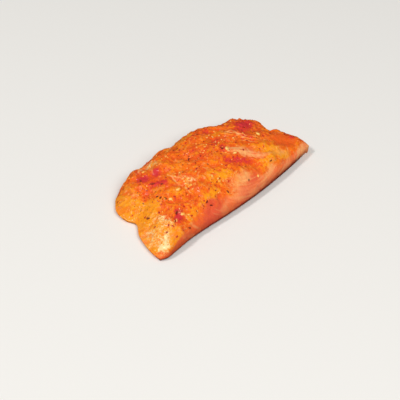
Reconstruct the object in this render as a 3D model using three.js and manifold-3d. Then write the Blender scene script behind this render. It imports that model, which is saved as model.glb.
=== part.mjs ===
// A raw salmon fillet portion under an oily spice rub, lying flesh side up.
// Millimetres, +Z up. X runs along the portion, from the thin near end to the far end,
// and Y runs across it, from the cut front face to the back. The flat underside is at z = 0.
import * as THREE from "three";
import { mergeVertices } from "three/addons/utils/BufferGeometryUtils.js";
import Module from "manifold-3d";

// Plan outline, one edge at a time. The back edge has two shallow notches and the near end
// one deep one, where neighbouring flakes of the flesh part from each other.
const FRONT_EDGE = [[-84.5, -35], [-79, -37.6], [-69, -37.4], [-55, -36.8], [-40, -37.6], [-12, -40],
  [18, -40.9], [54, -39], [79, -36]];
const BACK_EDGE = [[-61, 31], [-55, 34], [-46, 36.6], [-34.5, 40.8], [-28, 38.8], [-17, 39.5], [-6, 40.8],
  [3, 38], [14, 39.3], [29, 38.2], [41, 29.5], [50, 27.5], [59, 25.5], [68.5, 13.5]];
const NEAR_END = [[-84.5, -35], [-84.4, -30], [-82, -20], [-77, -8], [-69, 3], [-71, 11], [-69, 22],
  [-61, 31]];
const FAR_END = [[79, -36], [79.5, -24], [76, -13], [70, -6.5], [72, 4], [68.5, 13.5]];

// Thickness of the flesh at the four corners, before the edges are rounded, and the extra at the crown.
const CORNER_THICKNESS = { nearFront: 12.5, farFront: 9.5, nearBack: 11, farBack: 15 };
const CROWN = 12;
const CROWN_FULLNESS = { along: 0.8, across: 0.55 };
// How far in from each edge the top has rounded over, and how high the edge itself stands.
// The front shoulder is wide in the middle and tight at both ends: [share of the length, reach].
const ROUNDING = { back: 16, far: 9 };
const FRONT_ROUNDING = [[0, 3.5], [0.15, 4.5], [0.35, 14], [0.6, 15], [0.8, 8.5], [1, 4]];
// The near end is not rounded: it is a wedge that climbs from a thin edge over this length.
const NEAR_WEDGE = 24;
const EDGE_HEIGHT = { nearFront: 3, farFront: 6.5, nearBack: 3, farBack: 6 };
// The sides bulge in the middle of the length: their edge is this much higher there, over a deeper undercut.
const SIDE_BULGE = 1.5;
const UNDERCUT = { ends: 1.5, sides: 2.2 };

// Low lumps of the soft flesh: plane waves, each turned by the golden angle from the last.
const LUMP_WAVELENGTHS = [37, 27, 19, 14];
const LUMP_HEIGHT = 0.4;
const GOLDEN_ANGLE = Math.PI * (3 - Math.sqrt(5));

// Folds run along plan lines: the seams where flakes part are grooves, and a raised flake edge is a ridge.
const FOLDS = [
  { line: [[-28, 14], [-30, 7], [-32, -4], [-31, -11], [-32, -20], [-32, -29]], height: -1.1, width: 2.8 },
  { line: [[-29, 1], [-21, 6], [-16, 12]], height: -0.9, width: 2.6 },
  { line: [[3, 37], [-1, 28], [-8, 13], [-7, 2], [-1, -1]], height: -1.2, width: 3 },
  { line: [[-28, 38], [-30, 31], [-36, 18], [-39, 9]], height: -1.3, width: 3 },
  { line: [[-68, 3], [-65, -8], [-57, -14]], height: -1.6, width: 3.2 },
  { line: [[70, -6], [61, -12], [50, -14]], height: -1.3, width: 3 },
  { line: [[18, -7], [28, -17], [34, -23], [40, -29]], height: 1.3, width: 3.2 },
  { line: [[10, -15], [17, -22], [25, -28]], height: -1.5, width: 3.6 },
  { line: [[33, 12], [41, 0], [46, -9]], height: 0.7, width: 2.6 },
];

// Cream granules of the rub, half sunk in the flesh. The biggest are placed by hand, as plan x, y and radius,
// and the rest step over the seasoned part of the top by irrational shares of its length and width.
const BIG_GRANULES = [[-38, -9.5, 1.9], [50, -9.5, 1.7], [-47, -10.5, 1.5], [18, -6.5, 2.1],
  [19, -13.5, 1.6], [-37, 26, 1.7], [-51, -25.5, 1.8], [-75, -29.5, 2]];
const SMALL_GRANULES = 44;
const SMALL_RADIUS = { least: 0.8, most: 1.35 };
const SEASONED = { uFrom: 0.05, uTo: 0.93, vFrom: 0.24, vTo: 0.86 };
const STEP_SHARES = { along: 0.7548776662, across: 0.5698402910, size: 0.6180339887 };
// A granule is flatter than it is wide, by these shares of its radius.
const GRANULE_SHAPE = { length: 1.25, width: 0.9, height: 0.75 };

// Grid steps along the length and across, gathered towards the edges.
const STEPS_ALONG = 92;
const STEPS_ACROSS = 44;
const EDGE_GATHERING = 0.5;

const FLESH = new THREE.MeshStandardMaterial({ color: 0xf0662a, roughness: 0.35, metalness: 0 });

const mix = THREE.MathUtils.lerp;

// A smooth curve through hand-placed plan points, read by its share of the length.
function edgeCurve(points) {
  const corners = points.map(([x, y]) => new THREE.Vector3(x, y, 0));
  return new THREE.CatmullRomCurve3(corners, false, "centripetal");
}

const front = edgeCurve(FRONT_EDGE);
const back = edgeCurve(BACK_EDGE);
const near = edgeCurve(NEAR_END);
const far = edgeCurve(FAR_END);

// Plan point at u along the portion and v across it: a Coons patch over the four edges.
function planPoint(u, v) {
  const ruledAcross = front.getPointAt(u).lerp(back.getPointAt(u), v);
  const ruledAlong = near.getPointAt(v).lerp(far.getPointAt(v), u);
  const frontCorners = near.getPointAt(0).lerp(far.getPointAt(0), u);
  const backCorners = near.getPointAt(1).lerp(far.getPointAt(1), u);
  return ruledAcross.add(ruledAlong).sub(frontCorners.lerp(backCorners, v));
}

// A quarter-round rise from 0 at an edge to 1 at the given distance in from it.
function rounded(distance, reach) {
  const short = 1 - Math.min(distance / reach, 1);
  return Math.sqrt(1 - short * short);
}

// A wedge's even climb from 0 at an edge, easing to 1 at the given distance in from it.
function wedged(distance, reach) {
  return Math.sin((Math.PI / 2) * Math.min(distance / reach, 1));
}

// Reach of the front shoulder at u along the portion.
function frontReach(u) {
  const next = FRONT_ROUNDING.findIndex(([share]) => share >= u);
  if (next <= 0) return FRONT_ROUNDING[0][1];
  const [from, reach] = FRONT_ROUNDING[next - 1];
  const [to, reachNext] = FRONT_ROUNDING[next];
  return mix(reach, reachNext, (u - from) / (to - from));
}

function lumps(x, y) {
  return LUMP_WAVELENGTHS.reduce((sum, wavelength, i) => {
    const turn = i * GOLDEN_ANGLE;
    const along = x * Math.cos(turn) + y * Math.sin(turn);
    return sum + LUMP_HEIGHT * Math.sin((2 * Math.PI * along) / wavelength + i);
  }, 0);
}

// A value that changes evenly between the four corners.
function blended(corners, u, v) {
  return mix(mix(corners.nearFront, corners.farFront, u), mix(corners.nearBack, corners.farBack, u), v);
}

// Distance from a plan point to a line of straight pieces.
function distanceToLine(x, y, line) {
  let least = Infinity;
  for (let i = 1; i < line.length; i++) {
    const [x0, y0] = line[i - 1];
    const dx = line[i][0] - x0;
    const dy = line[i][1] - y0;
    const share = THREE.MathUtils.clamp(((x - x0) * dx + (y - y0) * dy) / (dx * dx + dy * dy), 0, 1);
    least = Math.min(least, Math.hypot(x - x0 - share * dx, y - y0 - share * dy));
  }
  return least;
}

function folds(x, y) {
  return FOLDS.reduce((sum, { line, height, width }) => {
    const spread = distanceToLine(x, y, line) / width;
    return sum + height * Math.exp(-spread * spread);
  }, 0);
}

function edgeHeight(u, v) {
  return blended(EDGE_HEIGHT, u ** 2, v) + SIDE_BULGE * Math.sin(Math.PI * u);
}

function topHeight(u, v, x, y) {
  const crownAlong = Math.sin(Math.PI * u) ** CROWN_FULLNESS.along;
  const crownAcross = Math.sin(Math.PI * v) ** CROWN_FULLNESS.across;
  const thickness = blended(CORNER_THICKNESS, u, v) + CROWN * crownAlong * crownAcross;
  const length = front.getLength();
  const width = near.getLength();
  const rise =
    rounded(v * width, frontReach(u)) *
    rounded((1 - v) * width, ROUNDING.back) *
    wedged(u * length, NEAR_WEDGE) *
    rounded((1 - u) * length, ROUNDING.far);
  const edge = edgeHeight(u, v);
  return edge + rise * (thickness - edge + lumps(x, y) + folds(x, y));
}

function gathered(t) {
  return mix(t, 0.5 - 0.5 * Math.cos(Math.PI * t), EDGE_GATHERING);
}

// Point of the top at the given grid steps, which may lie between whole ones.
function topPoint(i, j) {
  const u = gathered(i / STEPS_ALONG);
  const v = gathered(j / STEPS_ACROSS);
  const p = planPoint(u, v);
  return p.setZ(topHeight(u, v, p.x, p.y));
}

// The closed body: a top over the grid, one strip of wall down to the base ring, and the flat base.
// Each cell of the grid is split along the diagonal that passes nearer to the surface in its middle.
function fleshGeometry() {
  const positions = [];
  const faces = [];
  const at = (i, j) => i * (STEPS_ACROSS + 1) + j;
  const heightAt = (k) => positions[3 * k + 2];
  for (let i = 0; i <= STEPS_ALONG; i++) {
    for (let j = 0; j <= STEPS_ACROSS; j++) positions.push(...topPoint(i, j).toArray());
  }
  for (let i = 0; i < STEPS_ALONG; i++) {
    for (let j = 0; j < STEPS_ACROSS; j++) {
      const [a, b, c, d] = [at(i, j), at(i + 1, j), at(i + 1, j + 1), at(i, j + 1)];
      const middle = topPoint(i + 0.5, j + 0.5).z;
      const missAC = Math.abs((heightAt(a) + heightAt(c)) / 2 - middle);
      const missBD = Math.abs((heightAt(b) + heightAt(d)) / 2 - middle);
      if (missAC <= missBD) faces.push(a, b, c, a, c, d);
      else faces.push(a, b, d, b, c, d);
    }
  }
  const ring = [];
  for (let i = 0; i < STEPS_ALONG; i++) ring.push([i, 0]);
  for (let j = 0; j < STEPS_ACROSS; j++) ring.push([STEPS_ALONG, j]);
  for (let i = STEPS_ALONG; i > 0; i--) ring.push([i, STEPS_ACROSS]);
  for (let j = STEPS_ACROSS; j > 0; j--) ring.push([0, j]);
  const insetAlong = UNDERCUT.ends / front.getLength();
  const firstBase = positions.length / 3;
  const basePlan = ring.map(([i, j]) => {
    const rimU = gathered(i / STEPS_ALONG);
    const insetAcross = mix(UNDERCUT.ends, UNDERCUT.sides, Math.sin(Math.PI * rimU)) / near.getLength();
    const u = mix(insetAlong, 1 - insetAlong, rimU);
    const v = mix(insetAcross, 1 - insetAcross, gathered(j / STEPS_ACROSS));
    return planPoint(u, v);
  });
  basePlan.forEach((p) => positions.push(p.x, p.y, 0));
  ring.forEach(([i, j], k) => {
    const next = (k + 1) % ring.length;
    const upper = at(i, j);
    const upperNext = at(...ring[next]);
    faces.push(firstBase + k, firstBase + next, upperNext, firstBase + k, upperNext, upper);
  });
  const flat = basePlan.map((p) => new THREE.Vector2(p.x, p.y));
  THREE.ShapeUtils.triangulateShape(flat, []).forEach(([a, b, c]) => {
    faces.push(firstBase + c, firstBase + b, firstBase + a);
  });
  const geometry = new THREE.BufferGeometry();
  geometry.setAttribute("position", new THREE.Float32BufferAttribute(positions, 3));
  geometry.setIndex(faces);
  return geometry;
}

// Plan place of the k-th small granule, with its surface height and radius.
function smallGranule(k) {
  const share = (step) => ((k + 1) * step) % 1;
  const u = mix(SEASONED.uFrom, SEASONED.uTo, share(STEP_SHARES.along));
  const v = mix(SEASONED.vFrom, SEASONED.vTo, share(STEP_SHARES.across));
  const p = planPoint(u, v);
  const radius = mix(SMALL_RADIUS.least, SMALL_RADIUS.most, share(STEP_SHARES.size));
  return { x: p.x, y: p.y, z: topHeight(u, v, p.x, p.y), radius };
}

// Surface height under a plan point, from the grid point of the top nearest to it.
function heightUnder(top, x, y) {
  let best = { away: Infinity, z: 0 };
  for (let i = 0; i < (STEPS_ALONG + 1) * (STEPS_ACROSS + 1); i++) {
    const away = Math.hypot(top.getX(i) - x, top.getY(i) - y);
    if (away < best.away) best = { away, z: top.getZ(i) };
  }
  return best.z;
}

function granuleGeometry({ x, y, z, radius }, k) {
  const geometry = new THREE.IcosahedronGeometry(radius, 0);
  geometry.scale(GRANULE_SHAPE.length, GRANULE_SHAPE.width, GRANULE_SHAPE.height);
  geometry.rotateZ(k * GOLDEN_ANGLE);
  geometry.translate(x, y, z);
  return geometry;
}

const wasm = await Module();
wasm.setup();

// One closed solid of a three.js geometry, with shared corners welded.
function solid(geometry) {
  geometry.deleteAttribute("normal");
  geometry.deleteAttribute("uv");
  const welded = mergeVertices(geometry);
  return new wasm.Manifold(new wasm.Mesh({
    numProp: 3,
    vertProperties: new Float32Array(welded.attributes.position.array),
    triVerts: new Uint32Array(welded.index.array),
  }));
}

// The flesh with every granule fused to it, moved so that the middle of its footprint is the origin.
function filletGeometry() {
  const fleshShape = fleshGeometry();
  const top = fleshShape.attributes.position;
  const granules = BIG_GRANULES.map(([x, y, radius]) => ({ x, y, z: heightUnder(top, x, y), radius }));
  for (let k = 0; k < SMALL_GRANULES; k++) granules.push(smallGranule(k));
  let body = solid(fleshShape);
  granules.forEach((granule, k) => {
    body = body.add(solid(granuleGeometry(granule, k)));
  });
  const mesh = body.getMesh();
  const geometry = new THREE.BufferGeometry();
  geometry.setAttribute("position", new THREE.BufferAttribute(mesh.vertProperties, 3));
  geometry.setIndex(new THREE.BufferAttribute(mesh.triVerts, 1));
  geometry.computeBoundingBox();
  const middle = geometry.boundingBox.getCenter(new THREE.Vector3());
  geometry.translate(-middle.x, -middle.y, 0);
  geometry.computeVertexNormals();
  return geometry;
}

const fillet = new THREE.Group();
const flesh = new THREE.Mesh(filletGeometry(), FLESH);
flesh.name = "fillet";
fillet.add(flesh);

export default fillet;
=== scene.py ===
"""Looks of a raw salmon fillet portion under an oily spice rub.

Everything is in metres in the part's frame: +X along the portion from the thin near end to the far end,
+Y across it from the cut front face to the lobed back edge, +Z up, with the underside at z = 0.
"""

import logging
import math
from dataclasses import dataclass, field
from enum import Enum

import bmesh
import bpy
import numpy as np
from mathutils import Matrix, Vector
from mathutils.bvhtree import BVHTree


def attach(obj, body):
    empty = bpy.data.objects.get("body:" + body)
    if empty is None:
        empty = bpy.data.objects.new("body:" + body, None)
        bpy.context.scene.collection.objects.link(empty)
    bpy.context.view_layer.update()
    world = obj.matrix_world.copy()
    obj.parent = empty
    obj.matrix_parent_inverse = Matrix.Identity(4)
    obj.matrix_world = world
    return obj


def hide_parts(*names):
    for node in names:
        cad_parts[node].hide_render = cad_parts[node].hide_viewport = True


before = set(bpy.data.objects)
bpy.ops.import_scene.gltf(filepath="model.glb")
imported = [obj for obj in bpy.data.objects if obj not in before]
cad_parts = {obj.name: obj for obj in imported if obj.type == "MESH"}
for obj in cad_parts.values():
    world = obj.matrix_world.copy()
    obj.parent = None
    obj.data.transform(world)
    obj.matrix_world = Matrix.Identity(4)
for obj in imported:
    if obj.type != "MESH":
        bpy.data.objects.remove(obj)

LOG = logging.getLogger("fillet")
MM = 0.001
SEED = 7
TINY = 1e-9
GOLDEN_ANGLE = math.pi * (3 - math.sqrt(5))
BALL_LEVEL = 2

Array = np.ndarray
Colour = tuple[float, float, float, float]
Line = tuple[tuple[float, float], ...]
Socket = bpy.types.NodeSocket


def srgb(red: int, green: int, blue: int) -> Colour:
    """Linear colour of an 8-bit screen colour.

    Args:
        red: red, 0 to 255.
        green: green, 0 to 255.
        blue: blue, 0 to 255.

    Returns:
        Linear red, green, blue and an alpha of 1.
    """

    def linear(value: int) -> float:
        share = value / 255
        return share / 12.92 if share <= 0.04045 else ((share + 0.055) / 1.055) ** 2.4

    return linear(red), linear(green), linear(blue), 1.0


def smooth_step(value: Array, low: float, high: Array | float) -> Array:
    """Smooth 0 to 1 as value goes from low to high."""
    share = np.clip((value - low) / (high - low), 0, 1)
    return share * share * (3 - 2 * share)


def read(line: Line, x: Array) -> Array:
    """Values at x of a line of places and values."""
    return np.interp(x, *zip(*line))


def add_object(name: str, data: bpy.types.ID) -> bpy.types.Object:
    """Adds an object to the scene.

    Args:
        name: its name.
        data: its mesh, lamp or camera.

    Returns:
        The object.
    """
    added = bpy.data.objects.new(name, data)
    bpy.context.collection.objects.link(added)
    return added


def dressed(mesh: bpy.types.Mesh, material: bpy.types.Material) -> bpy.types.Object:
    """Adds a smooth mesh to the scene in one material.

    Args:
        mesh: the mesh, which gives the object its name.
        material: the material.

    Returns:
        The object.
    """
    mesh.shade_smooth()
    mesh.materials.clear()
    mesh.materials.append(material)
    return add_object(mesh.name, mesh)


class LatticeNoise:
    """Smooth seeded noise over a plane, from -1 to 1."""

    CELLS = 256

    def __init__(self, seed: int) -> None:
        """Fills the lattice from a seed."""
        self._values = np.random.default_rng(seed).uniform(-1, 1, (self.CELLS, self.CELLS))

    def at(self, x: Array, y: Array, wavelength: float, layer: int) -> Array:
        """Noise at plane points.

        Args:
            x: first coordinates.
            y: second coordinates.
            wavelength: size of one lattice cell, in the coordinates' unit.
            layer: picks an unrelated part of the lattice.

        Returns:
            One value per point.
        """
        px = x / wavelength + 37.3 * layer
        py = y / wavelength + 61.7 * layer
        ix, iy = np.floor(px).astype(int), np.floor(py).astype(int)
        fx, fy = px - ix, py - iy
        sx = fx**3 * (fx * (fx * 6 - 15) + 10)
        sy = fy**3 * (fy * (fy * 6 - 15) + 10)

        def corner(di: int, dj: int) -> Array:
            return self._values[(ix + di) % self.CELLS, (iy + dj) % self.CELLS]

        low = corner(0, 0) * (1 - sx) + corner(1, 0) * sx
        high = corner(0, 1) * (1 - sx) + corner(1, 1) * sx
        return low * (1 - sy) + high * sy


@dataclass(frozen=True)
class Ripple:
    """One layer of noise: its height and wavelength in mm, and its part of the lattice."""

    height: float
    wavelength: float
    layer: int

    def at(self, noise: LatticeNoise, x: Array, y: Array) -> Array:
        """Heights of the ripple in mm."""
        return self.height * noise.at(x, y, self.wavelength, self.layer)


@dataclass(frozen=True)
class Strands:
    """Noise drawn out into strands: its strength, width and length, and its part of the lattice."""

    strength: float
    width: float
    length: float
    layer: int

    def at(self, noise: LatticeNoise, across: Array, along: Array) -> Array:
        """Values of the strands at points across and along them."""
        return self.strength * noise.at(across / self.width, along / self.length, 1, self.layer)


class EdgeCurve:
    """A centripetal Catmull-Rom curve through plan points, read by its share of the length."""

    SAMPLES = 60

    def __init__(self, points: Line) -> None:
        """Samples the curve.

        Args:
            points: plan points the curve goes through, in mm.
        """
        inner = np.array(points, float)
        ends = np.vstack([2 * inner[0] - inner[1], inner, 2 * inner[-1] - inner[-2]])
        t = np.linspace(0, 1, self.SAMPLES, endpoint=False)[:, None]
        parts = [self._span(*ends[i : i + 4], t) for i in range(len(inner) - 1)]
        self.points = np.vstack(parts + [inner[-1:]])
        steps = np.linalg.norm(np.diff(self.points, axis=0), axis=1)
        self.length = float(steps.sum())
        self._shares = np.concatenate([[0], np.cumsum(steps)]) / self.length

    @staticmethod
    def _span(p0: Array, p1: Array, p2: Array, p3: Array, t: Array) -> Array:
        """Points between p1 and p2.

        Args:
            p0: point before the span.
            p1: start of the span.
            p2: end of the span.
            p3: point after the span.
            t: shares of the span.

        Returns:
            One point per share.
        """
        d0, d1, d2 = (math.sqrt(np.linalg.norm(b - a)) for a, b in ((p0, p1), (p1, p2), (p2, p3)))
        m1 = ((p1 - p0) / d0 - (p2 - p0) / (d0 + d1) + (p2 - p1) / d1) * d1
        m2 = ((p2 - p1) / d1 - (p3 - p1) / (d1 + d2) + (p3 - p2) / d2) * d1
        bend = (2 * p1 - 2 * p2 + m1 + m2) * t**3 + (-3 * p1 + 3 * p2 - 2 * m1 - m2) * t**2
        return bend + m1 * t + p1

    def at(self, share: Array) -> Array:
        """Plan points at shares of the length, one row per share."""
        columns = [np.interp(share, self._shares, self.points[:, k]) for k in (0, 1)]
        return np.stack(columns, -1)


@dataclass(frozen=True)
class Corners:
    """One value at each corner of the plan."""

    near_front: float
    far_front: float
    near_back: float
    far_back: float

    def blended(self, u: Array, v: Array) -> Array:
        """The value between the corners.

        Args:
            u: share along the portion.
            v: share across it.

        Returns:
            One value per point.
        """
        front = self.near_front + (self.far_front - self.near_front) * u
        back = self.near_back + (self.far_back - self.near_back) * u
        return front + (back - front) * v


@dataclass(frozen=True)
class Margins:
    """Margins along the four edges, as shares of the portion."""

    near: float
    far: float
    front: float
    back: float

    def inside(self, u: Array, v: Array) -> Array:
        """Smooth rise from 0 at the edges to 1 inside the margins."""
        along = smooth_step(u, 0, self.near) * smooth_step(1 - u, 0, self.far)
        return along * smooth_step(v, 0, self.front) * smooth_step(1 - v, 0, self.back)


@dataclass(frozen=True)
class Fold:
    """A groove (height below 0) or ridge along a plan line."""

    line: Line
    height: float
    width: float

    def at(self, x: Array, y: Array) -> Array:
        """Height of the fold.

        Args:
            x: plan x in mm.
            y: plan y in mm.

        Returns:
            Heights in mm.
        """
        least = np.full(np.shape(x), np.inf)
        for (x0, y0), (x1, y1) in zip(self.line, self.line[1:]):
            dx, dy = x1 - x0, y1 - y0
            share = np.clip(((x - x0) * dx + (y - y0) * dy) / (dx * dx + dy * dy), 0, 1)
            least = np.minimum(least, np.hypot(x - x0 - share * dx, y - y0 - share * dy))
        return self.height * np.exp(-((least / self.width) ** 2))


@dataclass(frozen=True)
class Patch:
    """A soft oval patch on the plan: centre, half sizes in mm, turn in degrees and strength."""

    x: float
    y: float
    half_x: float
    half_y: float
    turn: float = 0.0
    strength: float = 1.0

    def at(self, x: Array, y: Array) -> Array:
        """Strength of the patch.

        Args:
            x: plan x in mm.
            y: plan y in mm.

        Returns:
            Values from 0 to the patch's strength.
        """
        c, s = math.cos(math.radians(self.turn)), math.sin(math.radians(self.turn))
        dx, dy = x - self.x, y - self.y
        along, across = (dx * c + dy * s) / self.half_x, (dy * c - dx * s) / self.half_y
        return self.strength * np.exp(-(along**2 + across**2))


def patches(*rows: tuple[float, ...]) -> tuple[Patch, ...]:
    """Patches from rows of their values."""
    return tuple(Patch(*row) for row in rows)


def painted(marks: tuple[Patch, ...], x: Array, y: Array) -> Array:
    """Strengths of several patches together at plan points."""
    return sum(mark.at(x, y) for mark in marks)


class Zone(Enum):
    """Attributes of the flesh that its finish and the scatter read."""

    RED = "red"
    YELLOW = "yellow"
    BARE = "bare"
    # Pale flesh, fat and seasoning, and also painted highlights.
    PALE = "pale"
    PEACH = "peach"
    PLAIN = "plain"
    WASH = "wash"
    RUB = "rub"
    DARK = "dark"
    GRAIN = "grain"
    CHILLI = "chilli"
    # Painted shade along the foot of the front and down the wall.
    EDGE = "edge"
    FIBRE = "fibre"
    RELIEF = "relief"


@dataclass
class FilletShape:
    """Outline, thickness and lumps of the portion, in mm, before its footprint is centred."""

    front_edge: Line = (
        (-84.5, -35), (-79, -37.6), (-69, -37.4), (-55, -36.8), (-40, -37.6), (-12, -40), (18, -40.9),
        (54, -39), (79, -36),
    )
    back_edge: Line = (
        (-61, 31), (-55, 34), (-46, 36.6), (-34.5, 40.8), (-28, 38.8), (-17, 39.5), (-6, 40.8), (3, 38),
        (14, 39.3), (29, 38.2), (41, 29.5), (50, 27.5), (59, 25.5), (68.5, 13.5),
    )
    near_end: Line = (
        (-84.5, -35), (-84.4, -30), (-82, -20), (-77, -8), (-69, 3), (-71, 11), (-69, 22), (-61, 31),
    )
    far_end: Line = ((79, -36), (79.5, -24), (76, -13), (70, -6.5), (72, 4), (68.5, 13.5))
    thickness: Corners = Corners(12.5, 9.5, 11, 15)
    edge_height: Corners = Corners(3, 6.5, 3, 6)
    crown: float = 12.0
    crown_along: float = 0.8
    crown_across: float = 0.55
    rounding_front: Line = ((0, 3.5), (0.15, 4.5), (0.35, 14), (0.6, 15), (0.8, 8.5), (1, 4))
    rounding_back: float = 16.0
    rounding_far: float = 9.0
    near_wedge: float = 24.0
    side_bulge: float = 1.5
    undercut_ends: float = 1.5
    undercut_sides: float = 2.2
    lump_wavelengths: tuple[float, ...] = (37, 27, 19, 14)
    lump_height: float = 0.4
    folds: tuple[Fold, ...] = (
        Fold(((-28, 14), (-30, 7), (-32, -4), (-31, -11), (-32, -20), (-32, -29)), -1.1, 2.8),
        Fold(((-29, 1), (-21, 6), (-16, 12)), -0.9, 2.6),
        Fold(((3, 37), (-1, 28), (-8, 13), (-7, 2), (-1, -1)), -1.2, 3),
        Fold(((-28, 38), (-30, 31), (-36, 18), (-39, 9)), -1.3, 3),
        Fold(((-68, 3), (-65, -8), (-57, -14)), -1.6, 3.2),
        Fold(((70, -6), (61, -12), (50, -14)), -1.3, 3),
        Fold(((18, -7), (28, -17), (34, -23), (40, -29)), 1.3, 3.2),
        Fold(((10, -15), (17, -22), (25, -28)), -1.5, 3.6),
        Fold(((33, 12), (41, 0), (46, -9)), 0.7, 2.6),
    )

    def __post_init__(self) -> None:
        """Makes the four edge curves."""
        self._front, self._back = EdgeCurve(self.front_edge), EdgeCurve(self.back_edge)
        self._near, self._far = EdgeCurve(self.near_end), EdgeCurve(self.far_end)

    @property
    def middle(self) -> Array:
        """Middle of the footprint in mm."""
        points = np.vstack([edge.points for edge in (self._front, self._back, self._near, self._far)])
        return (points.min(axis=0) + points.max(axis=0)) / 2

    def plan(self, u: Array, v: Array) -> Array:
        """Plan points of a Coons patch over the four edges.

        Args:
            u: share along the portion.
            v: share across it.

        Returns:
            Points in mm, with x and y in the last axis.
        """
        us, vs = u[..., None], v[..., None]
        across = self._front.at(u) * (1 - vs) + self._back.at(u) * vs
        along = self._near.at(v) * (1 - us) + self._far.at(v) * us
        front = np.array(self.front_edge[0]) * (1 - us) + np.array(self.front_edge[-1]) * us
        back = np.array(self.back_edge[0]) * (1 - us) + np.array(self.back_edge[-1]) * us
        return across + along - (front * (1 - vs) + back * vs)

    @staticmethod
    def _rounded(distance: Array, reach: Array | float) -> Array:
        """Quarter-round rise from 0 at an edge to 1 at its reach."""
        short = 1 - np.minimum(distance / reach, 1)
        return np.sqrt(np.maximum(1 - short * short, 0))

    def height(self, u: Array, v: Array, x: Array, y: Array) -> Array:
        """Height of the top.

        Args:
            u: share along the portion.
            v: share across it.
            x: plan x in mm.
            y: plan y in mm.

        Returns:
            Heights in mm.
        """
        crown = np.sin(np.pi * u) ** self.crown_along * np.abs(np.sin(np.pi * v)) ** self.crown_across
        thickness = self.thickness.blended(u, v) + self.crown * crown
        length, width = self._front.length, self._near.length
        rise = (
            self._rounded(v * width, read(self.rounding_front, u))
            * self._rounded((1 - v) * width, self.rounding_back)
            * np.sin(np.pi / 2 * np.minimum(u * length / self.near_wedge, 1))
            * self._rounded((1 - u) * length, self.rounding_far)
        )
        relief = sum(fold.at(x, y) for fold in self.folds)
        for i, wavelength in enumerate(self.lump_wavelengths):
            turn = i * GOLDEN_ANGLE
            along = x * math.cos(turn) + y * math.sin(turn)
            relief = relief + self.lump_height * np.sin(2 * math.pi * along / wavelength + i)
        edge = self.edge_height.blended(u**2, v) + self.side_bulge * np.sin(np.pi * u)
        return edge + rise * (thickness - edge + relief)

    def undercut(self, u: Array) -> Array:
        """How far the underside's edge lies in from the rim, in mm."""
        return self.undercut_ends + (self.undercut_sides - self.undercut_ends) * np.sin(np.pi * u)


class Nodes:
    """Short ways to add nodes to a tree and link them."""

    def __init__(self, tree: bpy.types.NodeTree) -> None:
        """Keeps the tree."""
        self._tree = tree

    def add(self, kind: str, inputs: dict[str | int, object], **settings: object) -> bpy.types.Node:
        """Adds a node.

        Args:
            kind: type of the node.
            inputs: socket, number or colour for each input that isn't left as it is.
            settings: properties of the node.

        Returns:
            The node.
        """
        node = self._tree.nodes.new(kind)
        for name, value in settings.items():
            setattr(node, name, value)
        self.fill(node, inputs)
        return node

    def fill(self, node: bpy.types.Node, inputs: dict[str | int, object]) -> None:
        """Links or sets inputs of a node.

        Args:
            node: the node.
            inputs: socket, number or colour for each input, by name or number.
        """
        for name, value in inputs.items():
            if isinstance(value, Socket):
                self._tree.links.new(value, node.inputs[name])
            else:
                node.inputs[name].default_value = value


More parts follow.
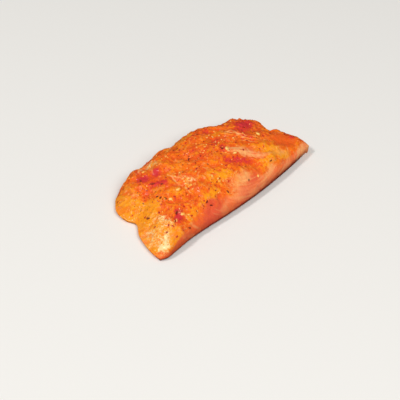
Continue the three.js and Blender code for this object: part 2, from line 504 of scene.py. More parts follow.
class NodeGraph(Nodes):
    """The nodes of one material."""

    def __init__(self, name: str) -> None:
        """Starts a named material with its shader and coordinates.

        Args:
            name: name of the material.
        """
        self.material = bpy.data.materials.new(name)
        self.material.use_nodes = True
        super().__init__(self.material.node_tree)
        self._shader = self._tree.nodes["Principled BSDF"]
        self._object = self.add("ShaderNodeTexCoord", {}).outputs["Object"]
        self.along = self.add("ShaderNodeSeparateXYZ", {0: self._object}).outputs["X"]

    def dress(self, inputs: dict[str, object]) -> bpy.types.Material:
        """Gives the shader its inputs, and returns the material."""
        self.fill(self._shader, inputs)
        return self.material

    def attribute(self, zone: Zone) -> Socket:
        """Value of a zone attribute."""
        return self.add("ShaderNodeAttribute", {}, attribute_name=zone.value).outputs["Fac"]

    def noise(self, size_mm: float, detail: float, shift: float, distortion: float = 0.0) -> Socket:
        """Noise in the part's own coordinates.

        Args:
            size_mm: size of its largest features.
            detail: octaves.
            shift: moves the pattern, so that two noises differ.
            distortion: how far it is warped.

        Returns:
            The value's socket.
        """
        offset = (shift, shift * 0.7, shift * 0.3)
        moved = self.add("ShaderNodeVectorMath", {0: self._object, 1: offset}, operation="ADD")
        return self.add("ShaderNodeTexNoise", {
            "Vector": moved.outputs[0],
            "Scale": 1 / (size_mm * MM),
            "Detail": detail,
            "Distortion": distortion,
        }).outputs["Fac"]

    def veins(self, size_mm: float, shift: float, distortion: float) -> Socket:
        """Values that are 0 along thin winding lines, a size apart."""
        noise = self.noise(size_mm, 2, shift, distortion)
        return self.math("ABSOLUTE", self.math("SUBTRACT", noise, 0.5))

    def math(self, operation: str, a: object, b: object = 0.0, c: object = 0.0) -> Socket:
        """A math operation on up to three values."""
        return self.add("ShaderNodeMath", {0: a, 1: b, 2: c}, operation=operation).outputs[0]

    def step(self, value: Socket, low: float, high: float, least: float = 0.0, most: float = 1.0) -> Socket:
        """Smooth step of a value, from least at low to most at high."""
        inputs = {"Value": value, "From Min": low, "From Max": high, "To Min": least, "To Max": most}
        return self.add("ShaderNodeMapRange", inputs, interpolation_type="SMOOTHSTEP").outputs["Result"]

    def mix(self, share: object, a: object, b: object) -> Socket:
        """Mix of two colours, with a share of the second."""
        return self.add("ShaderNodeMix", {0: share, 6: a, 7: b}, data_type="RGBA").outputs[2]

    def patchy(
        self, zone: Zone, noise: Socket, raggedness: float, low: float, high: float, most: float = 1.0
    ) -> Socket:
        """A zone with edges broken up by noise.

        Args:
            zone: which one.
            noise: noise that breaks it up.
            raggedness: how much the noise moves the edge.
            low: where the result is 0.
            high: where the result is at its most.
            most: the largest result.

        Returns:
            The share's socket.
        """
        moved = self.math("MULTIPLY_ADD", noise, raggedness, -0.5 * raggedness)
        return self.step(self.math("ADD", self.attribute(zone), moved), low, high, 0, most)

    def bump(self, height: Socket, strength: float, distance_mm: float) -> Socket:
        """Normal of a bump, from a height and the size of it in mm."""
        inputs = {"Height": height, "Strength": strength, "Distance": distance_mm * MM}
        return self.add("ShaderNodeBump", inputs).outputs[0]


class FleshGraph(NodeGraph):
    """The flesh's nodes: the noises that its layers share, and the colours laid so far."""

    def __init__(self, ground: Colour) -> None:
        """Starts the material, its noises and its ground colour.

        Args:
            ground: colour that the others are laid over.
        """
        super().__init__("flesh")
        self.colour: object = ground
        self.mottle = self.noise(2.2, detail=3, shift=0.37, distortion=0.6)
        self.spots = self.noise(1.5, detail=3, shift=0.53, distortion=0.3)
        self.lace = self.veins(3.2, shift=0.61, distortion=1.0)

    def lay(self, share: Socket, colour: object) -> None:
        """Lays a share of a colour over those laid before."""
        self.colour = self.mix(share, self.colour, colour)


@dataclass(frozen=True)
class FleshFinish:
    """Wet flesh stained by the rub, with painted shade and painted highlights in its colours."""

    orange: Colour = srgb(248, 113, 22)
    deep: Colour = srgb(234, 82, 28)
    yellow: Colour = srgb(255, 156, 24)
    crimson: Colour = srgb(214, 48, 62)
    rose: Colour = srgb(228, 82, 60)
    stain: Colour = srgb(238, 100, 46)
    plain: Colour = srgb(240, 96, 32)
    pink: Colour = srgb(252, 142, 86)
    peach: Colour = srgb(254, 178, 108)
    # Pale colour of fat and sinew, also laid as painted highlights.
    cream_and_highlight: Colour = srgb(255, 222, 156)
    # Dark red of the marks, also laid as painted shade along the foot.
    maroon_and_shade: Colour = srgb(132, 36, 18)
    roughness: tuple[float, float] = (0.42, 0.6)
    specular: float = 0.15
    coat: float = 0.55
    coat_roughness: float = 0.12
    subsurface: float = 0.12
    subsurface_radius: tuple[float, float, float] = (1.0, 0.35, 0.2)
    subsurface_mm: float = 0.6

    def material(self) -> bpy.types.Material:
        """Builds the material.

        Returns:
            The material.
        """
        graph = FleshGraph(self.orange)
        self._rub(graph)
        self._bare(graph)
        self._stain(graph)
        self._whiten_and_highlight(graph)
        # Painted shade: dark red laid along the front's foot and down the wall.
        graph.lay(graph.patchy(Zone.EDGE, graph.mottle, 0.3, 0.05, 1.0), self.maroon_and_shade)
        bump = graph.bump(graph.noise(1.0, detail=2, shift=0.73), strength=0.9, distance_mm=0.4)
        return graph.dress({
            "Base Color": graph.colour,
            "Roughness": graph.step(graph.mottle, 0.3, 0.7, *self.roughness),
            "Coat Weight": self.coat,
            "Coat Roughness": self.coat_roughness,
            "Specular IOR Level": self.specular,
            "Subsurface Weight": self.subsurface,
            "Subsurface Radius": self.subsurface_radius,
            "Subsurface Scale": self.subsurface_mm * MM,
            "Normal": bump,
            "Coat Normal": bump,
        })

    def _rub(self, graph: FleshGraph) -> None:
        """Lays the rub's colours, with painted highlights on the raised relief and painted shade in its low
        places.

        Args:
            graph: graph of the material.
        """
        mottle, spots, relief = graph.mottle, graph.spots, graph.attribute(Zone.RELIEF)
        broad = graph.noise(8, detail=3, shift=0.11, distortion=0.4)
        graph.lay(graph.step(broad, 0.42, 0.62, most=0.8), self.deep)
        graph.lay(graph.step(mottle, 0.54, 0.65, most=0.4), self.yellow)
        graph.lay(graph.patchy(Zone.YELLOW, mottle, 1.3, 0.2, 0.8), self.yellow)
        # Painted highlight: the raised relief is laid lighter.
        graph.lay(graph.step(relief, 0.6, 0.95, most=0.45), self.yellow)
        # Painted shade: the low relief is laid deeper red, as are the spots.
        hollow_shade = graph.step(relief, 0.42, 0.1, most=0.7)
        freckles_and_shade = graph.math("MAXIMUM", hollow_shade, graph.step(spots, 0.54, 0.63, most=0.8))
        kept = graph.step(graph.attribute(Zone.YELLOW), 0.3, 1.0, least=1, most=0.55)
        graph.lay(graph.math("MULTIPLY", freckles_and_shade, kept), self.deep)
        broken = graph.step(spots, 0.42, 0.56)
        threads = graph.step(graph.lace, 0.04, 0.0, most=0.5)
        graph.lay(graph.math("MULTIPLY", threads, broken), self.yellow)
        sinews = graph.step(graph.veins(7, shift=0.91, distortion=0.8), 0.03, 0.0, most=0.6)
        graph.lay(graph.math("MULTIPLY", sinews, broken), self.peach)
        graph.lay(graph.patchy(Zone.PLAIN, mottle, 1.2, 0.3, 1.0, most=0.75), self.plain)

    def _bare(self, graph: FleshGraph) -> None:
        """Lays bare flesh with its fibres, and rose tints, partly painted shade along the front's foot.

        Args:
            graph: graph of the material.
        """
        fibre = graph.attribute(Zone.FIBRE)
        bare = graph.mix(graph.step(graph.along, -50 * MM, 0.0), self.stain, self.pink)
        bare = graph.mix(graph.step(fibre, 0.5, 0.15, most=0.6), bare, self.stain)
        bare = graph.mix(graph.step(fibre, 0.55, 0.9, most=0.7), bare, self.peach)
        graph.lay(graph.patchy(Zone.BARE, graph.mottle, 1.0, 0.25, 1.1), bare)
        # Rose tints, which along the front's foot are painted shade.
        graph.lay(graph.patchy(Zone.WASH, graph.mottle, 0.6, 0.1, 1.1, most=0.7), self.rose)

    def _stain(self, graph: FleshGraph) -> None:
        """Lays red stains and dark marks.

        Args:
            graph: graph of the material.
        """
        graph.lay(graph.patchy(Zone.RED, graph.spots, 1.4, 0.1, 0.8), self.deep)
        graph.lay(graph.patchy(Zone.RED, graph.spots, 2.4, 0.5, 1.15, most=0.85), self.crimson)
        marks = graph.step(graph.noise(1.2, detail=2, shift=0.29, distortion=1.0), 0.62, 0.68, most=0.8)
        where = graph.step(graph.attribute(Zone.DARK), 0, 0.6, least=0.1)
        graph.lay(graph.math("MULTIPLY", marks, where), self.maroon_and_shade)

    def _whiten_and_highlight(self, graph: FleshGraph) -> None:
        """Lays pale fat and sinew, and painted highlights where the pale zone is strong.

        Args:
            graph: graph of the material.
        """
        graph.lay(graph.patchy(Zone.PEACH, graph.mottle, 0.6, 0.15, 1.1), self.peach)
        net = graph.patchy(Zone.PALE, graph.mottle, 1.0, 0.15, 0.9)
        net = graph.math("MULTIPLY", net, graph.step(graph.lace, 0.075, 0.0))
        # Painted highlight: where the pale zone is strong, such as the wet gloss at the near corner.
        solid_and_gloss = graph.patchy(Zone.PALE, graph.spots, 2.2, 0.9, 1.35)
        graph.lay(graph.math("MAXIMUM", net, solid_and_gloss), self.cream_and_highlight)


@dataclass(frozen=True)
class BitFinish:
    """Finish of one kind of bit in the rub."""

    name: str
    dark: Colour
    light: Colour
    roughness: float
    coat: float
    coat_roughness: float = 0.1

    def material(self) -> bpy.types.Material:
        """Builds the material.

        Returns:
            The material.
        """
        graph = NodeGraph(self.name)
        share = graph.step(graph.noise(1.5, detail=2, shift=0.2), 0.35, 0.65)
        bump = graph.bump(graph.noise(0.5, detail=2, shift=0.5), strength=0.3, distance_mm=0.15)
        return graph.dress({
            "Base Color": graph.mix(share, self.dark, self.light),
            "Roughness": self.roughness,
            "Coat Weight": self.coat,
            "Coat Roughness": self.coat_roughness,
            "Normal": bump,
            "Coat Normal": bump,
        })


@dataclass
class Flesh:
    """The fillet's flesh: a fine grid over the top, a wall round it and a flat underside."""

    shape: FilletShape = field(default_factory=FilletShape)
    steps_along: int = 380
    steps_across: int = 220
    wall_rows: int = 8
    gathering: float = 0.85
    # Bits keep clear of the edges, all but the front one, and the relief dies out at them.
    bit_margins: Margins = Margins(near=0.04, far=0.03, front=TINY, back=0.04)
    relief_margins: Margins = Margins(near=0.012, far=0.02, front=0.01, back=0.03)
    # Where each colour and each kind of bit lies.
    red: tuple[Patch, ...] = patches(
        (-43.5, 20.5, 5, 5, 20, 1.3), (-33.5, 16, 4, 5, -10, 1.3), (-40, 7, 5.5, 3.2, -48, 1.2),
        (-38, 0, 2.5, 3, 0, 0.6), (-54, -24.5, 7.5, 3, 41, 1.3), (-43, -14.5, 4, 6.5, 0, 0.55),
        (-48, 10, 7, 6, 0, 0.35), (17, -3.5, 3.2, 2.6, 0, 1.2), (14, -17.5, 7, 4, -30, 0.9),
        (11, -22.5, 6, 3, 0, 0.25), (22, -22.5, 6, 2.6, -40, 0.7), (57, 8.5, 8, 7, 40, 1.1),
        (45, 3.5, 9, 6, 0, 0.6), (47, 14, 12, 8, -40, 0.45), (16, 4, 9, 6, 0, 0.4),
        (72, -24.5, 2.2, 3.5, 20, 1), (25, 22.5, 6, 4, 30, 0.8), (22, 7.5, 8, 5, 0, 0.55),
        (1, 0.5, 6, 5, 0, 0.5), (0, 12.5, 7, 5, 0, 0.6), (10, -10.5, 5, 4, 0, 0.5),
        (36, 28.5, 8, 4, -30, 0.6), (-14, 30.5, 7, 5, 20, 0.5), (44, -6, 6, 4, -40, 0.5),
    )
    yellow: tuple[Patch, ...] = patches(
        (-59, -4, 8, 8, 0, 0.9), (-61, 26.5, 7, 7, 0, 1), (-67, 17, 8, 9, 0, 1.2), (-66, 4, 9, 9, 0, 1.2),
        (-70, -10.5, 8, 9, 0, 1.2), (-75, -25, 11, 11, 0, 1.2), (-67, -34, 7, 4, 0, 1),
        (-40, -26.5, 6, 4, 0, 0.55), (-28, -26.5, 6, 4, 0, 0.75), (-19, -27.5, 6, 4, 0, 0.7),
        (-2, -22, 9, 5, -15, 1), (46, -27, 9, 5, -40, 0.95), (34, -32.5, 8, 4, -10, 0.85),
        (22, -31.5, 5, 2.5, -20, 0.3), (50, -33, 9, 4, -10, 0.95), (-10, -19.5, 6, 5, 0, 0.3),
        (43, 11.5, 4, 4, 20, 0.8), (-21, 23.5, 5, 5, 0, 0.55), (-28, 27.5, 4, 5, -20, 0.7),
        (-38, -9.5, 4, 3, 0, 0.75), (-28, -7.5, 4, 4, 0, 0.6), (-17, -17.5, 5, 4, 0, 0.35),
        # On the next row, the last three patches, along the back crest, are painted highlights.
        (-49, -29, 5, 4, 0, 0.8), (13, 28, 7, 4, 0, 1), (1, 29, 5, 3, 0, 0.6), (48, 16.5, 5, 3, -30, 0.8),
    )
    # Pale fat and seasoning; some patches are painted highlights: the gloss at (-75, -31) and the glints on
    # the back-left crest near y 25 to 30.
    pale: tuple[Patch, ...] = patches(
        (-71, -23, 9, 10, 0, 0.38), (-75, -31, 4, 4, 10, 1.4), (-80, -32.5, 3, 4, 0, 0.6),
        (-64, -20.5, 4, 4, 0, 0.6), (-64, -26.5, 3, 4, 10, 0.4), (-76, -19.5, 3, 5, -15, 0.6),
        (-74, -12.5, 2.5, 4, 0, 0.5), (18, -7, 2.4, 1.8, 0, 1.1), (-26, -7, 3.5, 5, 0, 0.7),
        (-38, 27.5, 4, 3, 30, 0.5), (-51.5, -25, 1.6, 2.4, 0, 0.9), (-28, 25, 4, 3, 0, 0.5),
        (-27, 29.5, 5, 3, 20, 0.9), (-34.5, 30, 4, 2.5, 10, 0.8), (-62.5, -16, 3.5, 3.5, 0, 0.6),
    )
    # Pale flesh; the patch at (-24, 30) on the back-left crest is a painted highlight.
    peach: tuple[Patch, ...] = patches(
        (6, -31, 9, 4, -10, 0.75), (-5, -32.5, 7, 3, 0, 0.4), (-20, -37, 6, 3, 0, 0.5),
        (-70, -33, 4, 3, 0, 0.5), (-26, 22.5, 5, 5, 0, 0.35), (50, -31, 10, 5, -20, 0.55),
        (-71, 8, 3, 9, 10, 0.4), (-24, 30, 6, 2.5, 20, 0.35), (13, -29.5, 4, 3, 0, 0.5),
        (-81, -15, 3, 8, -20, 0.6),
    )
    # Rose tints of the flesh; the long low patches along the front's foot, at x -36, 2 and -62, are painted
    # shade.
    wash: tuple[Patch, ...] = patches(
        (-27, -34, 9, 6, 0, 0.8), (-28, -33.5, 4, 3, 0, 0.5), (16, -36, 7, 5, 0, 0.75),
        (-36, -36, 12, 4, 0, 0.6), (2, -38, 12, 3, 0, 0.5), (-62, -37, 11, 4, 0, 0.5),
        (20, -31, 5, 3, 0, 0.5), (58, -2, 7, 6, 0, 0.5),
    )
    plain: Patch = Patch(65, -22.5, 13, 8, -38, 1.25)
    smooth: Patch = Patch(48, -31.5, 12, 6, -20, 0.6)
    dark: tuple[Patch, ...] = patches(
        (-49, -4.5, 5, 5), (-56, -24.5, 5, 4), (-44, 12.5, 6, 8), (-6, 7.5, 6, 8), (16, -3.5, 4, 4),
        (10, -22.5, 9, 5), (-30, -30.5, 6, 3), (50, -1.5, 9, 9), (-66, -6.5, 4, 4), (6, 1.5, 8, 5),
        (-12, 26.5, 10, 5), (-59, 6.5, 6, 8), (68, -21.5, 8, 7), (-38, -18.5, 4, 5), (38, -33.5, 6, 3),
    )
    grain: tuple[Patch, ...] = patches(
        (-26, -9.5, 6, 6), (-10, -20.5, 6, 5), (-7, -24.5, 5, 3), (-47, -9.5, 5, 4), (18, -10.5, 5, 4),
        (-68, -21.5, 9, 10), (6, 6.5, 9, 7), (-24, 0.5, 6, 6), (20, 4.5, 6, 8), (-51, -25.5, 4, 4),
    )
    strip: Patch = Patch(28, -17, 17, 4.5, -46, 1.2)
    streaked: Patch = Patch(42, -1, 15, 11, -57)
    stray_flecks: float = 0.1
    stray_grains: float = 0.2
    rub_start: tuple[float, float] = (3, 9)
    # The bare front: how far up it reaches, its ragged edge and the shade at its foot.
    bare_reach: Line = (
        (-84, 2.5), (-77, 4), (-67, 7), (-52, 9), (-30, 12), (-11, 12.5), (-2, 15), (9, 18), (23, 13),
        (40, 7), (57, 5.5), (78, 5),
    )
    bare_softness: Line = ((-72, 0.25), (-45, 1), (30, 1), (58, 0.25))
    bare_ragged: tuple[Ripple, Ripple] = (Ripple(4.5, 14, 5), Ripple(2.5, 5, 13))
    bare_fade: tuple[float, float] = (-7, 8)
    foot_shade: Line = (
        (-84, 0.2), (-74, 0.62), (-60, 0.54), (5, 0.42), (25, 0.58), (55, 0.5), (75, 0.15),
    )
    foot_height: Line = ((20, 9), (50, 5))
    foot_least: float = 0.2
    foot_gain: float = 2.5
    foot_most: float = 1.1
    foot_curve: float = 0.7
    # Curved fibres of the front, as rings round a point over it.
    arc_middle: tuple[float, float] = (18, 26)
    arc_halves: tuple[float, float] = (32, 17)
    arc_rings: float = 5.2
    arc_lines: float = 1.6
    arc_start: tuple[float, float] = (-45, -25)
    arc_bareness: tuple[float, float] = (0.3, 0.9)
    arc_width: float = 0.15
    arc_share: float = 0.45
    groove_width: float = 0.2
    groove_share: float = 0.6
    arc_waver: Ripple = Ripple(0.12, 9, 6)
    arc_gaps: Ripple = Ripple(1, 12, 12)
    groove_gaps: Ripple = Ripple(1, 10, 19)
    coarse_fibre: Strands = Strands(0.6, 0.7, 16, 16)
    fine_fibre: Strands = Strands(0.4, 0.28, 10, 17)
    fibre_contrast: Line = ((0, 1.1), (35, 1.4))
    fibre_foot: Line = ((15, 0.4), (35, 0.8))
    fibre_rise: tuple[float, float] = (7, 16)
    # Straight streaks on the far part of the top, and threads along the bare strip.
    streak_side: tuple[float, float] = (0.84, 0.55)
    streak_gap: float = 2.6
    streak_width: float = 0.14
    furrow_width: float = 0.2
    furrow_share: float = 0.6
    streak_waver: Ripple = Ripple(1.6, 11, 7)
    streak_breaks: Ripple = Ripple(1, 6, 8)
    strip_side: tuple[float, float] = (0.68, 0.73)
    strip_waver: Ripple = Ripple(0.6, 8, 14)
    strip_threads: Strands = Strands(0.8, 0.75, 18, 21)
    strip_level: float = 0.45
    # Warp of the patches, and the fine relief.
    warp_x: tuple[Ripple, Ripple] = (Ripple(2.2, 7, 1), Ripple(1, 3, 2))
    warp_y: tuple[Ripple, Ripple] = (Ripple(2.2, 7, 3), Ripple(1, 3, 4))
    swell: Ripple = Ripple(0.24, 9, 9)
    flaking: Ripple = Ripple(0.7, 5.5, 15)
    lumps: Ripple = Ripple(0.46, 2.9, 10)
    crumbs: Ripple = Ripple(0.26, 1.5, 11)
    bare_relief: float = 0.25
    flake_level: float = 0.45
    pale_grain: float = 1.5
    sinew_depth: float = 0.12
    least_height: float = 0.2
    # Pale seams between the flakes of the flesh.
    seam_breaks: Ripple = Ripple(1, 4.5, 18)
    seam_gaps: tuple[float, float] = (-0.6, 0.4)
    seams: tuple[Fold, ...] = (
        Fold(((-26, 19.5), (-28, 13.5), (-30, 7.5), (-32, -3.5), (-31, -10.5), (-32, -17)), 1.0, 0.7),
        Fold(((-30, 7.5), (-28, -4.5), (-19, -8.5), (-6, -10.5)), 0.8, 0.8),
        Fold(((-19, -8.5), (-27, -14.5), (-32, -13.5)), 0.6, 0.8),
        Fold(((-16, 11.5), (-21, 5.5), (-29, 0.5)), 0.6, 0.9),
        Fold(((-30, 28.5), (-36, 16.5), (-39, 7.5)), 0.5, 0.9),
        Fold(((20, -13.5), (25, -18.5), (30, -23.5), (33, -30.5)), 0.8, 0.7),
        Fold(((33, 11.5), (41, -0.5), (46, -9.5), (50, -14.5)), 0.7, 0.7),
        Fold(((29, 4.5), (37, -3.5), (42, -13.5)), 0.8, 0.6),
        Fold(((45, 7.5), (51, 0.5), (50, -8.5)), 0.6, 0.6),
    )

    def build(self) -> bpy.types.Object:
        """Builds and dresses the flesh.

        Returns:
            The finished piece.
        """
        shape, noise = self.shape, LatticeNoise(SEED)
        u, v = np.meshgrid(
            self._gathered(np.linspace(0, 1, self.steps_along + 1)),
            self._gathered(np.linspace(0, 1, self.steps_across + 1)),
            indexing="ij",
        )
        plan = shape.plan(u, v)
        x, y = plan[..., 0], plan[..., 1]
        top = np.stack([x, y, shape.height(u, v, x, y)], -1)
        steps = np.linalg.norm(np.diff(top, axis=1), axis=2)
        across = np.concatenate([np.zeros((len(x), 1)), np.cumsum(steps, axis=1)], axis=1)
        zones = self._zones(top, across, self.bit_margins.inside(u, v), noise)
        relief = self._relief(x, across, zones, noise)
        zones[Zone.RELIEF] = np.clip(0.5 + relief, 0, 1)
        rise = (relief - self.sinew_depth * zones[Zone.PEACH]) * self.relief_margins.inside(u, v)
        top = top + self._normals(top) * rise[..., None]
        top[..., :2] -= shape.middle
        top[..., 2] = np.maximum(top[..., 2], self.least_height)
        return dressed(self._mesh(top, shape.undercut(u), zones), FleshFinish().material())

    def _gathered(self, t: Array) -> Array:
        """Even grid shares, gathered towards both edges."""
        return t + (0.5 - 0.5 * np.cos(np.pi * t) - t) * self.gathering

    @staticmethod
    def _normals(grid: Array) -> Array:
        """Unit normals of a grid, pointing up and out."""
        normal = np.cross(np.gradient(grid, axis=0), np.gradient(grid, axis=1))
        return normal / np.maximum(np.linalg.norm(normal, axis=2, keepdims=True), TINY)

    @staticmethod
    def _lines(phase: Array, width: float) -> Array:
        """Thin lines where a phase is a whole number, their half width being a share of their spacing."""
        return np.exp(-(((phase - np.round(phase)) / width) ** 2))

    @staticmethod
    def _broken(noise: Array) -> Array:
        """Soft gaps of 0 between stretches of 1, from noise."""
        return smooth_step(noise, -0.4, 0.5)

    def _zones(self, top: Array, across: Array, inner: Array, noise: LatticeNoise) -> dict[Zone, Array]:
        """Zone attributes over the grid.

        Args:
            top: grid of the smooth top in mm.
            across: length across the top from the front edge in mm.
            inner: 0 at the edges that bits keep clear of, 1 inside them.
            noise: noise for the zones' edges.

        Returns:
            One value per grid point for each zone but the relief.
        """
        x, y = top[..., 0], top[..., 1]
        wx = sum((ripple.at(noise, x, across) for ripple in self.warp_x), x)
        wy = sum((ripple.at(noise, x, across) for ripple in self.warp_y), y)
        strip = np.minimum(self.strip.at(wx, wy), 1)
        bare = np.maximum(self._bare(x, across, noise), strip)
        arcs, grooves, fibre = self._fibres(top, across, bare, noise)
        streaks, furrows = self._streaks(x, y, strip, noise)
        seams = np.max([seam.at(wx, wy) for seam in self.seams], axis=0)
        seams = seams * smooth_step(self.seam_breaks.at(noise, x, y), *self.seam_gaps)
        plain = self.plain.at(wx, wy)
        rub = np.clip(1 - bare - (plain + self.smooth.at(x, y)), 0, 1)
        rub = rub * smooth_step(across, *self.rub_start)
        foot = 1 - smooth_step(across, -1, read(self.foot_height, x))
        zones = {
            Zone.RED: self.furrow_share * furrows + painted(self.red, (x + wx) / 2, (y + wy) / 2),
            Zone.YELLOW: painted(self.yellow, wx, wy),
            Zone.BARE: bare,
            Zone.PALE: painted(self.pale, wx, wy),
            Zone.PLAIN: plain,
            Zone.WASH: self.groove_share * grooves + painted(self.wash, wx, wy),
            Zone.PEACH: self.arc_share * arcs + streaks + seams + painted(self.peach, wx, wy),
            Zone.RUB: rub,
            Zone.DARK: rub * inner * (self.stray_flecks + painted(self.dark, x, y)),
            Zone.GRAIN: rub * inner * (self.stray_grains + painted(self.grain, x, y)),
            Zone.CHILLI: rub * inner,
            # Painted shade along the front's foot.
            Zone.EDGE: read(self.foot_shade, x) * foot,
            Zone.FIBRE: 0.5 + fibre,
        }
        most = {Zone.RED: 1.5, Zone.PALE: 1.5}
        return {zone: np.clip(value, 0, most.get(zone, 1)) for zone, value in zones.items()}

    def _bare(self, x: Array, across: Array, noise: LatticeNoise) -> Array:
        """How bare of rub the front is.

        Args:
            x: part x in mm.
            across: length across the top from the front edge in mm.
            noise: noise for its edge.

        Returns:
            0 under the rub to 1 on bare flesh.
        """
        soft = read(self.bare_softness, x)
        ragged = across + soft * sum(ripple.at(noise, x, across) for ripple in self.bare_ragged)
        return smooth_step((read(self.bare_reach, x) - ragged) / soft, *self.bare_fade)

    def _fibres(
        self, top: Array, across: Array, bare: Array, noise: LatticeNoise
    ) -> tuple[Array, Array, Array]:
        """Curved fibres of the bare front.

        Args:
            top: grid of the smooth top in mm.
            across: length across the top from the front edge in mm.
            bare: how bare the flesh is.
            noise: noise that breaks up the lines.

        Returns:
            Pale lines, the grooves between them, and a soft grain about 0.
        """
        x, z = top[..., 0], top[..., 2]
        (x0, z0), (half_x, half_z) = self.arc_middle, self.arc_halves
        arc = np.hypot((x - x0) / half_x, (z0 - z) / half_z) * self.arc_rings
        arc = arc + self.arc_waver.at(noise, x, across)
        lined = smooth_step(bare, *self.arc_bareness) * smooth_step(x, *self.arc_start)
        phase = self.arc_lines * arc
        arcs = self._lines(phase, self.arc_width) * lined
        arcs = arcs * self._broken(self.arc_gaps.at(noise, x, across))
        grooves = self._lines(phase + 0.5, self.groove_width) * lined
        grooves = grooves * self._broken(self.groove_gaps.at(noise, x, across))
        fibre = self.coarse_fibre.at(noise, arc, x) + self.fine_fibre.at(noise, arc, x)
        fibre = fibre * read(self.fibre_contrast, x)
        upper = np.maximum(smooth_step(z, *self.fibre_rise), read(self.fibre_foot, x))
        return arcs, grooves, np.where(fibre > 0, fibre * upper, fibre)

    def _streaks(self, x: Array, y: Array, strip: Array, noise: LatticeNoise) -> tuple[Array, Array]:
        """Straight streaks of sinew on the far part of the top.

        Args:
            x: part x in mm.
            y: part y in mm.
            strip: strength of the bare strip.
            noise: noise that breaks up the lines.

        Returns:
            Pale streaks and the furrows between them.
        """
        side_x, side_y = self.streak_side
        phase = (side_x * x + side_y * y + self.streak_waver.at(noise, x, y)) / self.streak_gap
        streaked = self.streaked.at(x, y) * self._broken(self.streak_breaks.at(noise, x, y))
        streaks = self._lines(phase, self.streak_width) * streaked
        furrows = self._lines(phase + 0.5, self.furrow_width) * streaked
        side_x, side_y = self.strip_side
        sideways = side_x * x + side_y * y + self.strip_waver.at(noise, x, y)
        threads = self.strip_threads.at(noise, sideways, side_y * x - side_x * y)
        return np.maximum(streaks, strip * np.clip(self.strip_level + threads, 0, 1)), furrows

    def _relief(self, x: Array, across: Array, zones: dict[Zone, Array], noise: LatticeNoise) -> Array:
        """Fine relief of the surface.

        Args:
            x: part x in mm.
            across: length across the top in mm.
            zones: zone attributes.
            noise: noise the relief is made of.

        Returns:
            Heights in mm.
        """
        rub = self.bare_relief + (1 - self.bare_relief) * zones[Zone.RUB]
        flaky = self.flake_level * self.flaking.height - np.abs(self.flaking.at(noise, x, across))
        lumpy = self.lumps.at(noise, x, across)
        grainy = self.crumbs.at(noise, x, across) * (1 + self.pale_grain * zones[Zone.PALE])
        return self.swell.at(noise, x, across) + rub * (flaky + lumpy + grainy)

    @staticmethod
    def _wall(rim: Array, undercut: Array, down: Array) -> Array:
        """Points of the wall, row by row from under the rim to the underside.

        Args:
            rim: points of the rim in mm.
            undercut: how far in from each the underside's edge lies, in mm.
            down: how far down each row lies, as a share.

        Returns:
            Points in mm.
        """
        side = np.roll(rim, -1, 0) - np.roll(rim, 1, 0)
        inward = np.stack([-side[:, 1], side[:, 0]], -1)
        inward = inward / np.maximum(np.linalg.norm(inward, axis=1, keepdims=True), TINY)
        wall = np.repeat(rim[None], len(down), 0)
        wall[..., :2] += inward * undercut[:, None] * down[..., None] ** 2
        wall[..., 2] *= 1 - down
        return wall.reshape(-1, 3)

    def _mesh(self, top: Array, undercut: Array, zones: dict[Zone, Array]) -> bpy.types.Mesh:
        """Closes the top into one body.

        Args:
            top: grid of the top in mm.
            undercut: how far in the underside's edge lies, over that grid, in mm.
            zones: zone attributes over that grid.

        Returns:
            The mesh.
        """
        index = np.arange(undercut.size).reshape(undercut.shape)
        ring = np.concatenate([index[:-1, 0], index[-1, :-1], index[:0:-1, -1], index[0, :0:-1]])
        below = index.size + np.arange(self.wall_rows * len(ring)).reshape(self.wall_rows, -1)
        levels = np.vstack([ring, below])
        upper, lower = levels[:-1], levels[1:]
        corners = (
            (index[:-1, :-1], index[1:, :-1], index[1:, 1:], index[:-1, 1:]),
            (lower, np.roll(lower, -1, 1), np.roll(upper, -1, 1), upper),
        )
        quads = np.concatenate([np.stack(four, -1).reshape(-1, 4) for four in corners])
        down = np.arange(1, self.wall_rows + 1)[:, None] / self.wall_rows
        points = top.reshape(-1, 3)
        points = np.vstack([points, self._wall(points[ring], undercut.reshape(-1)[ring], down)])
        mesh = bpy.data.meshes.new("salmon_flesh")
        mesh.from_pydata((points * MM).tolist(), [], quads.tolist() + [levels[-1, ::-1].tolist()])
        for zone, value in zones.items():
            wall = np.repeat(value.reshape(-1)[ring][None], self.wall_rows, 0)
            if zone is Zone.EDGE:
                # The wall's painted shade deepens towards its foot.
                foot = np.minimum(self.foot_least + self.foot_gain * wall, self.foot_most)
                wall = wall + (foot - wall) * down**self.foot_curve
            values = np.concatenate([value.reshape(-1), wall.reshape(-1)])
            attribute = mesh.attributes.new(zone.value, "FLOAT", "POINT")
            attribute.data.foreach_set("value", values.astype(np.float32))
        body = bmesh.new()
        body.from_mesh(mesh)
        bmesh.ops.triangulate(body, faces=[face for face in body.faces if len(face.verts) > 4])
        body.to_mesh(mesh)
        body.free()
        return mesh


@dataclass(frozen=True)
class Bit:
    """One listed bit: plan place, size in mm and turn in degrees."""

    x: float
    y: float
    size: float
    turn: float = 0.0


